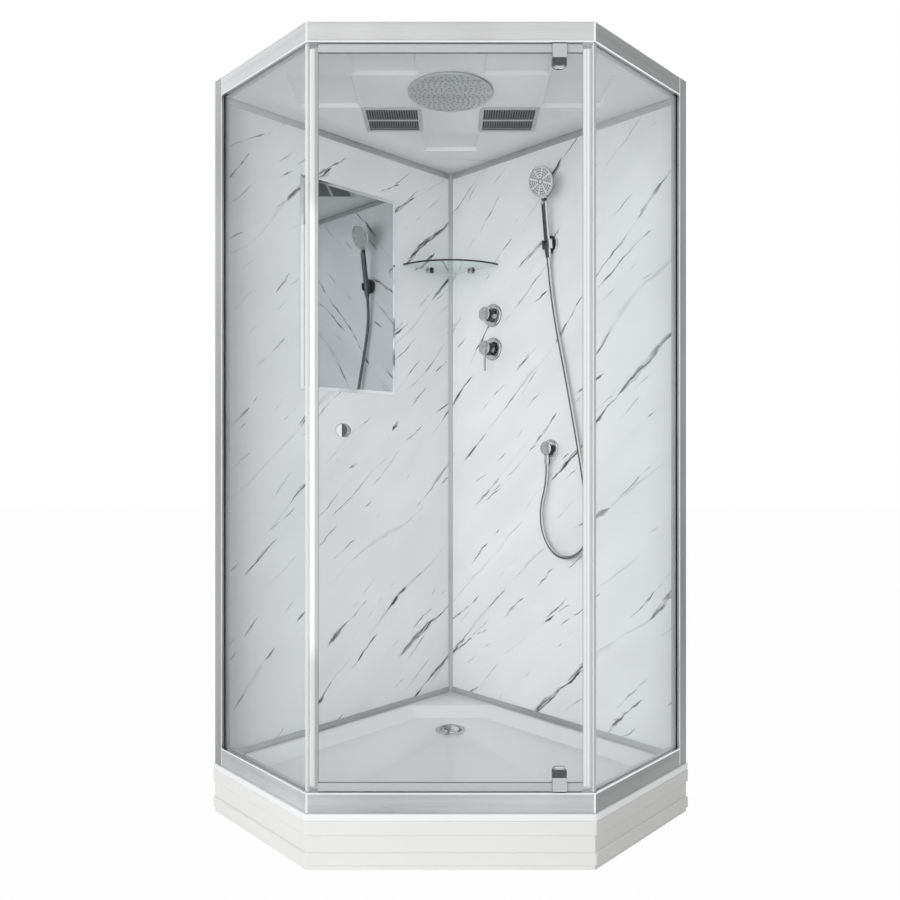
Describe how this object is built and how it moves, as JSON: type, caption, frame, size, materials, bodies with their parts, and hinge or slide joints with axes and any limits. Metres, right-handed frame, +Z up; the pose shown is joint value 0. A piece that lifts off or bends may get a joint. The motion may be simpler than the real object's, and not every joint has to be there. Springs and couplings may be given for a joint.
{
  "type": "shower cabin",
  "caption": "Corner shower cabin: pentagonal tray with apron, aluminium frame, glass sides, pivoting door, marble-look walls, mixer, hand shower with hose, rain head, mirror and glass shelf.",
  "frame": {"origin": "middle of the overall footprint on the floor, under the feet", "axes": "+Z up, -Y out through the door, +X to the right seen from the front"},
  "size_m": [1.4142, 1.05, 2.178],
  "materials": {
    "white_acrylic": "gloss",
    "galvanised_steel": "zinc coated",
    "frame_aluminium": "brushed and clear anodised",
    "marble_panel": "polished white marble pattern",
    "wall_trim": "satin",
    "clear_glass": "clear tempered",
    "shelf_glass": "clear with green edge",
    "mirror_silver": "silvered, bevelled edge",
    "gasket_rubber": "matte black",
    "clear_seal": "translucent soft plastic",
    "chrome_fitting": "polished",
    "steel_pin": "ground",
    "hose_steel": "ribbed metal",
    "spray_face": "satin grey",
    "rain_plate": "satin",
    "grille_grey": "satin grey",
    "waste_plastic": "moulded",
    "valve_brass": "cast",
    "supply_tube": "braided feed tube"
  },
  "bodies": {
    "root": {"tray": "white_acrylic", "apron_panel": "white_acrylic", "ceiling_panel": "white_acrylic", "apron_clips": "galvanised_steel", "subframe_front": "galvanised_steel", "subframe_left": "galvanised_steel", "subframe_right": "galvanised_steel", "levelling_feet": "galvanised_steel", "foot_locknuts": "galvanised_steel", "rail_corner_brackets": "galvanised_steel", "rail_bottom_front": "frame_aluminium", "rail_bottom_left": "frame_aluminium", "rail_bottom_right": "frame_aluminium", "rail_top_front": "frame_aluminium", "rail_top_left": "frame_aluminium", "rail_top_right": "frame_aluminium", "wall_post_left": "frame_aluminium", "wall_post_right": "frame_aluminium", "back_post": "frame_aluminium", "wall_panel_left": "marble_panel", "wall_panel_right": "marble_panel", "corner_profile": "wall_trim", "wall_trims_bottom": "wall_trim", "wall_trims_top": "wall_trim", "side_glass_left": "clear_glass", "side_glass_right": "clear_glass", "corner_shelf": "shelf_glass", "mirror": "mirror_silver", "glass_gaskets": "gasket_rubber", "side_edge_seals": "clear_seal", "shelf_clamps": "chrome_fitting", "valve_rosettes": "chrome_fitting", "wall_outlet": "chrome_fitting", "hose_nut": "chrome_fitting", "handset_holder": "chrome_fitting", "drain_flange": "chrome_fitting", "drain_strainer": "chrome_fitting", "pivot_pins": "steel_pin", "shower_hose": "hose_steel", "rain_head": "rain_plate", "ceiling_grilles": "grille_grey", "waste_trap": "waste_plastic", "valve_bodies": "valve_brass", "supply_pipes": "supply_tube"},
    "door": {"door_glass": "clear_glass", "door_seal_left": "clear_seal", "door_seal_right": "clear_seal", "door_seal_top": "clear_seal", "door_seal_bottom": "clear_seal", "hinge_plates_outer": "chrome_fitting", "hinge_plates_inner": "chrome_fitting", "door_knobs": "chrome_fitting", "knob_screw": "steel_pin"},
    "diverter": {"diverter_knob": "chrome_fitting"},
    "mixer": {"mixer_spindle": "chrome_fitting"},
    "mixer_lever": {"mixer_handle": "chrome_fitting"},
    "handset": {"handset_body": "chrome_fitting", "handset_face": "spray_face"},
    "button": {"spray_button": "spray_face"},
    "waste_cover": {"drain_cover": "chrome_fitting"}
  },
  "joints": [
    {"name": "door_swing", "type": "hinge", "parent": "root", "child": "door", "pos_m": [0.28, -0.4975, 0], "axis": [0, 0, 1], "range_deg": [0, 90]},
    {"name": "diverter_turn", "type": "hinge", "parent": "root", "child": "diverter", "pos_m": [0.15344, 0.31782, 1.565], "axis": [-0.7071, -0.7071, 0], "range_deg": [-90, 90]},
    {"name": "mixer_turn", "type": "hinge", "parent": "root", "child": "mixer", "pos_m": [0.15344, 0.31782, 1.444], "axis": [-0.7071, -0.7071, 0], "range_deg": [-45, 45]},
    {"name": "mixer_lift", "type": "hinge", "parent": "mixer", "child": "mixer_lever", "pos_m": [0.13647, 0.30085, 1.444], "axis": [-0.7071, 0.7071, 0], "range_deg": [0, 15]},
    {"name": "handset_lift", "type": "slide", "parent": "root", "child": "handset", "axis": [-0.0911, -0.0911, 0.9917], "range_m": [0, 0.09], "deforming": ["shower_hose"]},
    {"name": "spray_button_press", "type": "slide", "parent": "handset", "child": "button", "axis": [0.7012, 0.7012, 0.1288], "range_m": [0, 0.002], "stiffness_N_per_m": 400},
    {"name": "waste_cover_lift", "type": "slide", "parent": "root", "child": "waste_cover", "axis": [0, 0, 1], "range_m": [0, 0.06]}
  ]
}
